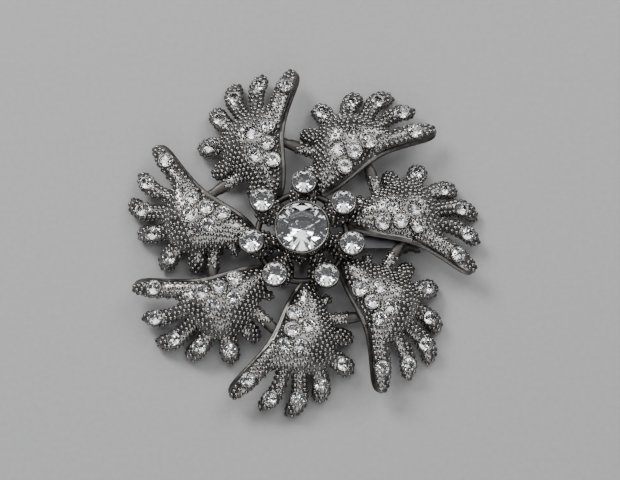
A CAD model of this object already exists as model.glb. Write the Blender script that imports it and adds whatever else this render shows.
# Pinwheel brooch, black-nickel plated, with foiled crystal stones
import random
from math import atan2, cos, pi, radians, sin

import bmesh
import bpy
from mathutils import Matrix, Vector


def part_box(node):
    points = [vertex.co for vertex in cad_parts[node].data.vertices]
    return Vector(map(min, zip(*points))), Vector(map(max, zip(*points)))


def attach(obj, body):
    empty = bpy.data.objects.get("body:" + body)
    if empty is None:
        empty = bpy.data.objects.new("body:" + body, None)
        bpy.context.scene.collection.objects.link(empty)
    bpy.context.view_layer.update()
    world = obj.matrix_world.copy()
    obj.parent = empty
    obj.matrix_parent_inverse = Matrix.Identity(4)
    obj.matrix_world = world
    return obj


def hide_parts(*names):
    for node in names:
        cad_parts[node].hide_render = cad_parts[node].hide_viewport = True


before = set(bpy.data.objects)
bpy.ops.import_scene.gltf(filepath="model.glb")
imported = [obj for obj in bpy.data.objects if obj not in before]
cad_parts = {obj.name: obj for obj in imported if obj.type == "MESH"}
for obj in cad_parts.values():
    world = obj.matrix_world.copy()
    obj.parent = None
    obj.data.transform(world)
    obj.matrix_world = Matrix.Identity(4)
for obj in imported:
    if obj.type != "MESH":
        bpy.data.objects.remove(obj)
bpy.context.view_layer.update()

mm = 0.001
petals = range(1, 8)
merge = 0.0004 * mm  # corners of a CAD node nearer than this are one corner
ringLow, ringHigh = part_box("ring")
hubAxis = (ringLow + ringHigh) / 2  # the ring is round, so its middle stands on the hub's axis
backZ = ringLow.z  # where hub, ring and bar meet


# small helpers

def linear(code):
    # a hex sRGB colour as a linear one
    parts = [int(code[i:i + 2], 16) / 255 for i in (1, 3, 5)]
    return [p / 12.92 if p <= 0.04045 else ((p + 0.055) / 1.055) ** 2.4 for p in parts] + [1.0]


def addNode(tree, kind, **inputs):
    # inputs are socket values, or links given as (node, socket)
    node = tree.nodes.new(kind)
    for name, value in inputs.items():
        socket = node.inputs[name.replace("_", " ")]
        if isinstance(value, tuple) and isinstance(value[0], bpy.types.Node):
            tree.links.new(value[0].outputs[value[1]], socket)
        else:
            socket.default_value = value
    return node


def newMaterial(name):
    # a material with no nodes yet
    material = bpy.data.materials.new(name)
    material.use_nodes = True
    material.node_tree.nodes.clear()
    return material, material.node_tree


def ownPlace(tree):
    # a link to the object's own coordinates, which are in metres
    return addNode(tree, "ShaderNodeTexCoord"), "Object"


def addNoise(tree, where, size, detail):
    # blotches of about this size
    return addNode(tree, "ShaderNodeTexNoise", Vector=where, Scale=1 / size, Detail=detail)


def tinted(tree, noise, stops, colours):
    # a link to the noise as a colour, stretched between two stops and two hex colours
    node = addNode(tree, "ShaderNodeValToRGB", Fac=(noise, "Fac"))
    for element, stop, colour in zip(node.color_ramp.elements, stops, colours):
        element.position, element.color = stop, linear(colour)
    return node, "Color"


def addSurface(tree, **inputs):
    # the one shader that every material here uses, joined to the material's output
    shader = addNode(tree, "ShaderNodeBsdfPrincipled", **inputs)
    addNode(tree, "ShaderNodeOutputMaterial", Surface=(shader, "BSDF"))


def finishPiece(name, mesh, materials, node):
    # turns a bmesh into an object that rides on the brooch and stands for a CAD node
    data = bpy.data.meshes.new(name)
    mesh.to_mesh(data)
    mesh.free()
    piece = bpy.data.objects.new(name, data)
    bpy.context.scene.collection.objects.link(piece)
    for material in materials:
        data.materials.append(material)
    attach(piece, "brooch")
    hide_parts(node)


def copyOfNode(node):
    # a closed bmesh of a CAD node, its loose triangles merged
    mesh = bmesh.new()
    mesh.from_mesh(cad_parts[node].data)
    bmesh.ops.remove_doubles(mesh, verts=mesh.verts, dist=merge)
    return mesh


def worn(mesh, voxel, passes):
    # an even skin over a shape, with its sharp corners worn round like a casting's
    data = bpy.data.meshes.new("working")
    mesh.to_mesh(data)
    mesh.free()
    work = bpy.data.objects.new("working", data)
    bpy.context.scene.collection.objects.link(work)
    skin = work.modifiers.new("skin", "REMESH")
    skin.mode = "VOXEL"
    skin.voxel_size = voxel
    wear = work.modifiers.new("wear", "SMOOTH")
    wear.factor, wear.iterations = 0.5, passes  # each pass moves a corner half way to its neighbours' middle
    seen = work.evaluated_get(bpy.context.evaluated_depsgraph_get())
    even = bmesh.new()
    even.from_mesh(bpy.data.meshes.new_from_object(seen))
    bpy.data.objects.remove(work)
    bpy.data.meshes.remove(data)
    return even


def solidCorners(node):
    # the corners of each separate solid of a CAD node, sorted, because a set's order differs between runs
    mesh = copyOfNode(node)
    solids, left = [], set(mesh.verts)
    while left:
        front = [left.pop()]
        corners = []
        while front:
            vert = front.pop()
            corners.append(vert.co.copy())
            for edge in vert.link_edges:
                other = edge.other_vert(vert)
                if other in left:
                    left.remove(other)
                    front.append(other)
        solids.append(sorted(corners, key=tuple))
    mesh.free()
    return sorted(solids, key=lambda corners: tuple(corners[0]))


def middleOf(points):
    return sum(points, Vector()) / len(points)


# materials

plating = {
    "cloud": 2.5 * mm, "cloudDetail": 3.0, "tintStops": (0.35, 0.7),
    "dullStops": (0.3, 0.75), "dullShare": (0.8, 1.35),  # of the roughness, where clearest and most clouded
    "grit": 0.25 * mm, "gritDetail": 2.0, "gritHeight": 0.02 * mm, "gritStrength": 0.15,
}


def blackNickel(name, colours, roughness):
    # black nickel over cast white metal: a dark mirror, clouded a little where hands and air have dulled it
    material, tree = newMaterial(name)
    place = ownPlace(tree)
    cloud = addNoise(tree, place, plating["cloud"], plating["cloudDetail"])
    clear, clouded = plating["dullStops"]
    least, most = plating["dullShare"]
    dull = addNode(tree, "ShaderNodeMapRange", Value=(cloud, "Fac"), From_Min=clear, From_Max=clouded,
                   To_Min=roughness * least, To_Max=roughness * most)
    grit = addNoise(tree, place, plating["grit"], plating["gritDetail"])
    skin = addNode(tree, "ShaderNodeBump", Height=(grit, "Fac"), Distance=plating["gritHeight"],
                   Strength=plating["gritStrength"])
    addSurface(tree, Base_Color=tinted(tree, cloud, plating["tintStops"], colours), Metallic=1.0,
               Roughness=(dull, "Result"), Normal=(skin, "Normal"))
    return material


def cutCrystal():
    # lead-free crystal: clear, bright and hard, so its facets stay sharp
    material, tree = newMaterial("cutCrystal")
    addSurface(tree, Base_Color=linear("#f7f8f8"), Roughness=0.0, IOR=1.56, Transmission_Weight=1.0)
    return material


foilCoat = {"stain": 1.2 * mm, "stainDetail": 2.0, "tintStops": (0.35, 0.75), "roughness": 0.08}


def silverFoil(name, colours):
    # vacuum-deposited silver under the pavilion, which throws the light back through the stone
    material, tree = newMaterial(name)
    stain = addNoise(tree, ownPlace(tree), foilCoat["stain"], foilCoat["stainDetail"])
    addSurface(tree, Base_Color=tinted(tree, stain, foilCoat["tintStops"], colours), Metallic=1.0,
               Roughness=foilCoat["roughness"])
    return material


drawnWire = {
    "along": 4 * mm, "across": 0.06 * mm, "detail": 2.0, "tintStops": (0.3, 0.7),
    "colours": ("#8d8d8f", "#b3b3b4"), "roughness": 0.28,
}


def brightSteel():
    # drawn spring-steel wire, left bright, with fine lines along its length
    material, tree = newMaterial("drawnSteelWire")
    along, across = 1 / drawnWire["along"], 1 / drawnWire["across"]
    stretch = addNode(tree, "ShaderNodeMapping", Vector=ownPlace(tree), Scale=(along, across, across))
    lines = addNoise(tree, (stretch, "Vector"), 1.0, drawnWire["detail"])  # the mapping has set the size
    addSurface(tree, Base_Color=tinted(tree, lines, drawnWire["tintStops"], drawnWire["colours"]),
               Metallic=1.0, Roughness=drawnWire["roughness"])
    return material


backdropPaper = {
    "fibre": 0.9 * mm, "detail": 4.0, "tintStops": (0.3, 0.7), "colours": ("#9e9e9f", "#a3a3a4"),
    "roughness": 0.9,
}


def paleFloor():
    # matt grey backdrop paper
    material, tree = newMaterial("backdropPaper")
    fibre = addNoise(tree, ownPlace(tree), backdropPaper["fibre"], backdropPaper["detail"])
    addSurface(tree, Base_Color=tinted(tree, fibre, backdropPaper["tintStops"], backdropPaper["colours"]),
               Roughness=backdropPaper["roughness"])
    return material


castGround = blackNickel("blackNickelCast", ("#7a7875", "#9d9b98"), 0.26)
castBead = blackNickel("blackNickelBead", ("#7c7a77", "#999794"), 0.2)
polishedRim = blackNickel("blackNickelPolished", ("#545250", "#6c6a67"), 0.34)
settingPlate = blackNickel("blackNickelSetting", ("#5c5a57", "#777470"), 0.2)
shadedPlate = blackNickel("blackNickelDull", ("#413f3e", "#54524f"), 0.42)
pressedSteel = blackNickel("blackNickelPressedSteel", ("#4a4a4d", "#5d5d60"), 0.4)
wireSteel = brightSteel()
crystal = cutCrystal()
brightFoil = silverFoil("silverFoil", ("#d6d7d8", "#bcb9b2"))
agedFoil = silverFoil("agedSilverFoil", ("#b0b4b8", "#9a9b9c"))
print("materials made")


# stones

stoneCut = {
    # shares of the girdle's radius
    "crown": 0.34, "girdle": 0.07, "pavilion": 0.80, "table": 0.56,
    "kiteReach": 0.80, "kiteRise": 0.56,  # where the kite facets meet; the rise is a share of the crown
    "foilGap": 0.012,  # from the pavilion to the foil behind it
    "culetClear": 0.75,  # no other corner of a CAD stone is this near the culet
    "facets": 8, "wedges": 16,
    "onePlane": radians(1.5),  # triangles that bend less than this are one facet
    "lidFacing": 0.9,  # the foil's faces that look up more than this are its lid
    "twist": 2.4,  # radians from one stone to the next, so that no two are set with their facets alike
}


def ringOfVerts(mesh, radius, height, count, turn, place):
    steps = [turn + 2 * pi * i / count for i in range(count)]
    return [mesh.verts.new(place @ Vector((radius * cos(a), radius * sin(a), height))) for a in steps]


def hullOf(mesh, verts, material):
    # facets from the stone's corners: the hull's triangles, joined where they lie in one plane
    bmesh.ops.convex_hull(mesh, input=verts, use_existing_faces=False)
    faces = list({face for vert in verts for face in vert.link_faces})
    edges = list({edge for face in faces for edge in face.edges})
    bmesh.ops.dissolve_limit(mesh, angle_limit=stoneCut["onePlane"], verts=verts, edges=edges)
    faces = {face for vert in verts if vert.is_valid for face in vert.link_faces}
    for face in faces:
        face.material_index = material
        face.smooth = False
    return list(faces)


def pavilionVerts(mesh, radius, drop, place):
    # wedges that meet at the culet
    girdle, deep = stoneCut["girdle"] * radius + drop, stoneCut["pavilion"] * radius
    verts = ringOfVerts(mesh, radius, -girdle, stoneCut["wedges"], 0, place)
    verts.append(mesh.verts.new(place @ Vector((0, 0, -girdle - deep))))
    return verts


def addStone(mesh, radius, place):
    # table, star and kite facets, girdle, pavilion, and the foil behind it
    crown, facets = stoneCut["crown"] * radius, stoneCut["facets"]
    kiteReach, kiteRise = stoneCut["kiteReach"] * radius, stoneCut["kiteRise"] * crown
    verts = ringOfVerts(mesh, stoneCut["table"] * radius, crown, facets, 0, place)
    verts += ringOfVerts(mesh, kiteReach, kiteRise, facets, pi / facets, place)
    verts += ringOfVerts(mesh, radius, 0, stoneCut["wedges"], 0, place)
    hullOf(mesh, verts + pavilionVerts(mesh, radius, 0, place), 0)
    cup = hullOf(mesh, pavilionVerts(mesh, radius, stoneCut["foilGap"] * radius, place), 1)
    up = (place.to_3x3() @ Vector((0, 0, 1))).normalized()
    lid = [face for face in cup if face.normal.dot(up) > stoneCut["lidFacing"]]
    bmesh.ops.delete(mesh, geom=lid, context="FACES_ONLY")


def stonePlaces(node, radius):
    # where each stone of a CAD node sits: its girdle's centre, turned so that its table looks out
    places = []
    depth = (stoneCut["girdle"] + stoneCut["pavilion"]) * radius
    near = stoneCut["culetClear"] * radius
    for number, corners in enumerate(solidCorners(node)):
        # the culet is the corner that stands most alone
        culet = min(corners, key=lambda corner: sum(1 for c in corners if (c - corner).length < near))
        out = (middleOf(corners) - culet).normalized()
        turn = Matrix.Rotation(stoneCut["twist"] * number, 4, "Z")
        upright = out.to_track_quat("Z", "Y").to_matrix().to_4x4()
        places.append(Matrix.Translation(culet + out * depth) @ upright @ turn)
    return places


def setStones(node, radius, foil):
    # one piece for all the stones of a CAD node
    mesh = bmesh.new()
    for place in stonePlaces(node, radius):
        addStone(mesh, radius, place)
    finishPiece(node + "_cut", mesh, (crystal, foil), node)


smallRadius, mediumRadius, largeRadius = 1.15 * mm, 2.0 * mm, 4.5 * mm
for k in petals:
    setStones(f"tip_stones_{k}", smallRadius, brightFoil)
    setStones(f"palm_stones_{k}", smallRadius, brightFoil)
    setStones(f"medium_stone_{k}", mediumRadius, agedFoil)
setStones("large_stone", largeRadius, agedFoil)
print("stones set")


# petals

granulation = {
    "beadRadius": 0.43 * mm, "uneven": 0.08,  # how much a bead's radius may be off, as a share
    "pitch": 0.80 * mm, "row": 0.3,  # beads are laid in rows this share of the pitch wide
    "sunk": 0.14 * mm,  # how far a bead's centre lies under the surface
    "hidden": 0.5,  # a bead is cut off this share of its radius under the surface
    "recess": 0.07 * mm,  # patina stays this far up a bead's side
    "seed": 7,
}
petalCast = {
    "voxel": 0.17 * mm, "wear": 3,
    "tipsAhead": radians(22.25),  # from the first finger round to the middle of the tip stones
    "stoneClear": 1.55 * mm,  # beads keep this far from a stone's middle
    # x and y along the rim, in millimetres from the hub's axis
    "rimLine": ((7.2, 3.8), (9.9, 3.0), (13.5, 2.9), (17.0, 3.0), (20.8, 2.55), (24.3, 1.45), (27.2, 0.35),
                (29.1, -0.2), (31.0, -0.3)),
    "rimBand": 0.25 * mm,  # polished width inside the rim line
    "backFaces": -0.35,  # surfaces that look down more than this are left dull from the mould
    "beadFaces": -0.15,  # surfaces that look down more than this carry no beads
    "tieBare": (10.6 * mm, 12.9 * mm),  # the tie finger is bare beyond this corner
    # its run-on end: middle, turn, and half its length, width and height
    "tieEnd": Vector((8.3, 15.5, 0.6)) * mm, "tieTurn": radians(121),
    "tieSize": (2.2 * mm, 0.9 * mm, 0.5 * mm),
}
petalFinish = (castGround, castBead, polishedRim, shadedPlate)


def lineAt(points, x):
    # y of a broken line at x in metres; the line's own points are in millimetres
    for (x0, y0), (x1, y1) in zip(points, points[1:]):
        if x <= x1 * mm:
            return (y0 + (y1 - y0) * (x / mm - x0) / (x1 - x0)) * mm
    return points[-1][1] * mm


def beadSpots(mesh, allowed):
    # an even packing over the allowed part of a surface, started at one end so that rows form
    spots, taken = [], {}
    pitch = granulation["pitch"]
    row = granulation["row"] * pitch
    for vert in sorted(mesh.verts, key=lambda v: (round(v.co.x / row), v.co.y)):
        if not allowed(vert.co, vert.normal):
            continue
        key = tuple(int(c // pitch) for c in vert.co)
        near = (other for i in (-1, 0, 1) for j in (-1, 0, 1) for h in (-1, 0, 1)
                for other in taken.get((key[0] + i, key[1] + j, key[2] + h), ()))
        if all((other - vert.co).length >= pitch for other in near):
            taken.setdefault(key, []).append(vert.co.copy())
            spots.append((vert.co.copy(), vert.normal.copy()))
    return spots


def addBeads(mesh, spots, finish):
    # half beads, each standing square on the surface, bright on top and dark round the foot
    top, foot = finish.index(castBead), finish.index(shadedPlate)
    chance = random.Random(granulation["seed"])
    for place, out in spots:
        radius = granulation["beadRadius"] * (1 + granulation["uneven"] * chance.uniform(-1, 1))
        upright = out.to_track_quat("Z", "Y").to_matrix().to_4x4()
        stand = Matrix.Translation(place - out * granulation["sunk"]) @ upright
        made = bmesh.ops.create_icosphere(mesh, subdivisions=2, radius=radius, matrix=stand)
        deepest = -granulation["hidden"] * radius
        hidden = [vert for vert in made["verts"] if (vert.co - place).dot(out) < deepest]
        for face in {face for vert in made["verts"] for face in vert.link_faces}:
            height = (face.calc_center_median() - place).dot(out)
            face.material_index = foot if height < granulation["recess"] else top
            face.smooth = True
        bmesh.ops.delete(mesh, geom=hidden, context="VERTS")


def petalAngle(k):
    # how far round the hub's axis petal k's first finger points
    tips = middleOf([middleOf(corners) for corners in solidCorners(f"tip_stones_{k}")]) - hubAxis
    return atan2(tips.y, tips.x) - petalCast["tipsAhead"]


angles = {k: petalAngle(k) for k in petals}
base = Vector((hubAxis.x, hubAxis.y, backZ))


def petalPlace(k):
    return Matrix.Translation(base) @ Matrix.Rotation(angles[k], 4, "Z")


def castPetal():
    # petal 1 laid along X with the hub's axis at the origin: worn casting, polished rim, beads
    toLocal = petalPlace(1).inverted()
    stones = [toLocal @ middleOf(corners) for node in ("tip_stones_1", "palm_stones_1")
              for corners in solidCorners(node)]
    mesh = copyOfNode("petal_1")
    bmesh.ops.transform(mesh, matrix=toLocal, verts=mesh.verts)
    # solder and metal that run on under the next petal's rim
    tongue = Matrix.Translation(petalCast["tieEnd"]) @ Matrix.Rotation(petalCast["tieTurn"], 4, "Z")
    tongue = tongue @ Matrix.Diagonal((*petalCast["tieSize"], 1))
    bmesh.ops.create_icosphere(mesh, subdivisions=4, radius=1, matrix=tongue)
    mesh = worn(mesh, petalCast["voxel"], petalCast["wear"])
    tieX, tieY = petalCast["tieBare"]

    def pastRim(place):
        return place.y - lineAt(petalCast["rimLine"], place.x)

    def onTie(place):
        return place.x < tieX and place.y > tieY

    def allowed(place, out):
        if out.z < petalCast["beadFaces"] or onTie(place):
            return False
        if pastRim(place) < petalCast["rimBand"] + granulation["beadRadius"]:
            return False
        return all((place - stone).length > petalCast["stoneClear"] for stone in stones)

    ground, rim, shade = (petalFinish.index(material) for material in (castGround, polishedRim, shadedPlate))
    for face in mesh.faces:
        face.smooth = True
        middle = face.calc_center_median()
        if face.normal.z < petalCast["backFaces"] or onTie(middle):
            face.material_index = shade
        else:
            face.material_index = rim if pastRim(middle) < petalCast["rimBand"] else ground
    spots = beadSpots(mesh, allowed)
    addBeads(mesh, spots, petalFinish)
    print("petal cast with", len(spots), "beads and", len(mesh.faces), "faces")
    return mesh


model = castPetal()
for k in petals:
    petal = model.copy()
    bmesh.ops.transform(petal, matrix=petalPlace(k), verts=petal.verts)
    finishPiece(f"petalCasting_{k}", petal, petalFinish, f"petal_{k}")
model.free()
print("petals placed")


# hub, cups and bezel

hubCast = {
    "voxel": 0.16 * mm, "wear": 3,
    "leafAt": 7.3 * mm, "leafRise": 1.2 * mm,  # the leaf under each cup: from the axis, and above the back
    "leafSize": (2.7 * mm, 2.45 * mm, 0.9 * mm),  # half its length, width and height
    "beadFaces": 0.1,  # surfaces that look up less than this carry no beads
    "neckClear": 3.2 * mm, "highest": 3.2 * mm,  # beads start this far from the axis, and end this high
    "collarBeads": 14, "collarAt": 4.7 * mm, "collarRise": 1.4 * mm, "collarRadius": 0.42 * mm,
    "collarStart": 0.3,  # of the step between two collar beads
}
hubFinish = (shadedPlate, castBead)


def castHub():
    # the hub's disc, arms and their leaves, granulated like the petals on every side that can be seen
    mesh = copyOfNode("hub")
    for k in petals:
        low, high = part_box(f"cup_{k}")
        arm = (low + high) / 2 - hubAxis
        turn = Matrix.Rotation(atan2(arm.y, arm.x), 4, "Z")
        spot = base + turn @ Vector((hubCast["leafAt"], 0, hubCast["leafRise"]))
        leaf = Matrix.Translation(spot) @ turn @ Matrix.Diagonal((*hubCast["leafSize"], 1))
        bmesh.ops.create_icosphere(mesh, subdivisions=4, radius=1, matrix=leaf)
    mesh = worn(mesh, hubCast["voxel"], hubCast["wear"])

    def allowed(place, out):
        reach = (place - hubAxis).xy.length
        if out.z <= hubCast["beadFaces"] or reach <= hubCast["neckClear"]:
            return False
        return place.z < backZ + hubCast["highest"]

    for face in mesh.faces:
        face.smooth = True
    addBeads(mesh, beadSpots(mesh, allowed), hubFinish)
    for i in range(hubCast["collarBeads"]):
        turn = Matrix.Rotation(2 * pi * (i + hubCast["collarStart"]) / hubCast["collarBeads"], 4, "Z")
        spot = base + turn @ Vector((hubCast["collarAt"], 0, hubCast["collarRise"]))
        made = bmesh.ops.create_icosphere(mesh, subdivisions=3, radius=hubCast["collarRadius"],
                                          matrix=Matrix.Translation(spot))
        for face in {face for vert in made["verts"] for face in vert.link_faces}:
            face.material_index = hubFinish.index(castBead)
            face.smooth = True
    finishPiece("hubCasting", mesh, hubFinish, "hub")


turned = {"steps": 64, "seam": 0.001 * mm}


def lathe(profile, place):
    # profile: closed loop of (radius, height), spun about the place's own Z
    mesh = bmesh.new()
    corners = [mesh.verts.new((radius, 0, height)) for radius, height in profile]
    edges = [mesh.edges.new((a, b)) for a, b in zip(corners, corners[1:] + corners[:1])]
    bmesh.ops.spin(mesh, geom=corners + edges, cent=(0, 0, 0), axis=(0, 0, 1), angle=2 * pi,
                   steps=turned["steps"], use_merge=True, use_duplicate=False)
    bmesh.ops.remove_doubles(mesh, verts=mesh.verts, dist=turned["seam"])
    bmesh.ops.recalc_face_normals(mesh, faces=mesh.faces)
    for face in mesh.faces:
        face.smooth = True
    bmesh.ops.transform(mesh, matrix=place, verts=mesh.verts)
    return mesh


settingShape = {
    # shares of the stone's radius
    "room": 0.008,  # round the girdle
    "lip": 0.05, "lipSlope": 0.034,  # how far the burnished lip leans in, and how high the crown is there
    "ledge": (-0.01, -0.02),  # the seat starts this far under the stone's edge, and ends under its girdle
    "seat": 0.06,  # room under the culet
    "flare": 0.62,  # how far under the girdle the foot opens out
    # (share of the wall's outer radius, height over the flare as a share of the stone's radius)
    "flareLine": ((0.80, -0.10), (0.95, 0.04), (1.0, 0.2)),
    # (out from the wall, down from the stone's edge) as shares of the wall: a thin raised line under the lip
    "raisedLine": ((0, 3.2), (0.45, 2.7), (0.45, 2.2), (0, 1.7)),
    # (in from the wall's outside, as a share of the wall; share of the lip's rise)
    "crest": ((0, 0.2), (0.12, 0.8), (0.45, 1.0)),
    # (in from the wall's inside, as a share of the wall; share of the lip's rise)
    "burnished": (0.2, 0.8), "lipFoot": 0.17,
    # the hollow under the stone: shares of the inner and the foot's radius, each with a share of the depth
    "hollow": ((0.25, 0.92), (0.3, 0.98)),
}


def setting(name, node, stoneNode, radius, size):
    # a cup turned round its stone: foot, flare, straight wall, rounded lip, and the seat inside
    low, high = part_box(node)
    girdle = stonePlaces(stoneNode, radius)[0].translation
    shape, wall, footRadius, lipRise = settingShape, size["wall"], size["foot"], size["lipRise"]
    foot = low.z - girdle.z
    flare = -(stoneCut["girdle"] + shape["flare"]) * radius
    outer, inner = radius + wall, radius * (1 + shape["room"])
    deep = -(stoneCut["girdle"] + stoneCut["pavilion"] + shape["seat"]) * radius
    burnishedIn, burnishedRise = shape["burnished"]
    ledgeTop, ledgeFoot = shape["ledge"]
    (throat, throatDepth), (eye, eyeDepth) = shape["hollow"]
    profile = [(footRadius * eye, foot), (footRadius, foot)]
    profile += [(outer * share, flare + rise * radius) for share, rise in shape["flareLine"]]
    profile += [(outer + out * wall, -down * wall) for out, down in shape["raisedLine"]]
    profile += [(outer - back * wall, lipRise * share) for back, share in shape["crest"]]
    profile += [
        (inner - burnishedIn * wall, lipRise * burnishedRise),
        (inner - shape["lip"] * radius, shape["lipFoot"] * lipRise + shape["lipSlope"] * radius),
        (inner, ledgeTop * radius), (inner, (ledgeFoot - stoneCut["girdle"]) * radius),
        (inner * throat, deep * throatDepth), (footRadius * eye, deep * eyeDepth),
    ]
    finishPiece(name, lathe(profile, Matrix.Translation(girdle)), (settingPlate,), node)


cupSize = {"wall": 0.15 * mm, "foot": 1.15 * mm, "lipRise": 0.16 * mm}
bezelSize = {"wall": 0.24 * mm, "foot": 2.6 * mm, "lipRise": 0.34 * mm}
castHub()
for k in petals:
    setting(f"cupTurned_{k}", f"cup_{k}", f"medium_stone_{k}", mediumRadius, cupSize)
setting("bezelTurned", "bezel", "large_stone", largeRadius, bezelSize)
print("hub and settings made")


# ring and pin back keep their CAD shapes

def refinish(node, material):
    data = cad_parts[node].data
    data.materials.clear()
    data.materials.append(material)


refinish("ring", shadedPlate)
for node in ("pin_bar", "joint_rivet", "catch_housing", "catch_roller"):
    refinish(node, pressedSteel)
refinish("pin_stem", wireSteel)
print("pin back finished")


# floor, light and camera

studio = {
    "frameWidth": 107.826 * mm,  # how much of the floor the picture takes in
    "lens": 200.0, "sensor": 36.0,  # millimetres
    "nearest": 0.05, "farthest": 5.0,  # metres from the camera
    "elevation": radians(75.75),
    "aside": (1.39 * mm, -0.17 * mm),  # the brooch stands a little left of the middle
    "sunk": 0.3 * mm,  # the lights and the camera look this far under the hub's back
    "floorReach": 0.6,  # metres from the floor's middle to its sides
    "world": "#8c8d90", "worldStrength": 0.42,
    "lights": (
        # name, azimuth and elevation in degrees, distance and size in metres, watts
        ("overheadBox", 85, 72, 0.55, 0.46, 0.9),
        ("frontBox", -88, 30, 0.60, 0.45, 1.1),
        ("leftBox", 130, 41, 0.60, 0.26, 3.1),
        ("rightBox", 48, 42, 0.60, 0.34, 1.5),
        ("frontLamp", -60, 58, 0.60, 0.07, 0.22),
        ("lowLamp", -125, 52, 0.60, 0.07, 0.22),
        ("sideLamp", -10, 72, 0.60, 0.07, 0.22),
        ("farLamp", 195, 70, 0.60, 0.07, 0.22),
    ),
}


def addFloor():
    mesh = bmesh.new()
    bmesh.ops.create_grid(mesh, x_segments=1, y_segments=1, size=studio["floorReach"])
    data = bpy.data.meshes.new("backdrop")
    mesh.to_mesh(data)
    mesh.free()
    floor = bpy.data.objects.new("backdrop", data)
    bpy.context.scene.collection.objects.link(floor)
    data.materials.append(paleFloor())


def aim(thing, target):
    thing.rotation_euler = (target - thing.location).to_track_quat("-Z", "Y").to_euler()


def directionOf(azimuth, elevation):
    return Vector((cos(azimuth) * cos(elevation), sin(azimuth) * cos(elevation), sin(elevation)))


def addLights(target):
    world = bpy.data.worlds.new("studio")
    bpy.context.scene.world = world
    world.use_nodes = True
    glow = world.node_tree.nodes["Background"]
    glow.inputs["Color"].default_value = linear(studio["world"])
    glow.inputs["Strength"].default_value = studio["worldStrength"]
    for name, azimuth, elevation, distance, size, watts in studio["lights"]:
        light = bpy.data.lights.new(name, "AREA")
        light.shape, light.size, light.energy = "DISK", size, watts
        box = bpy.data.objects.new(name, light)
        box.location = target + directionOf(radians(azimuth), radians(elevation)) * distance
        aim(box, target)
        bpy.context.scene.collection.objects.link(box)


def addCamera(target):
    lens = bpy.data.cameras.new("camera")
    lens.lens, lens.sensor_width = studio["lens"], studio["sensor"]
    lens.clip_start, lens.clip_end = studio["nearest"], studio["farthest"]
    camera = bpy.data.objects.new("camera", lens)
    bpy.context.scene.collection.objects.link(camera)
    distance = studio["frameWidth"] * studio["lens"] / studio["sensor"]
    toCamera = directionOf(-pi / 2, studio["elevation"])
    upwards = directionOf(pi / 2, pi / 2 - studio["elevation"])
    right, rise = studio["aside"]
    aimAt = target + Vector((right, 0, 0)) + upwards * rise
    camera.location = aimAt + toCamera * distance
    aim(camera, aimAt)
    bpy.context.scene.camera = camera


lookAt = base - Vector((0, 0, studio["sunk"]))
addFloor()
addLights(lookAt)
addCamera(lookAt)
print("stage set")
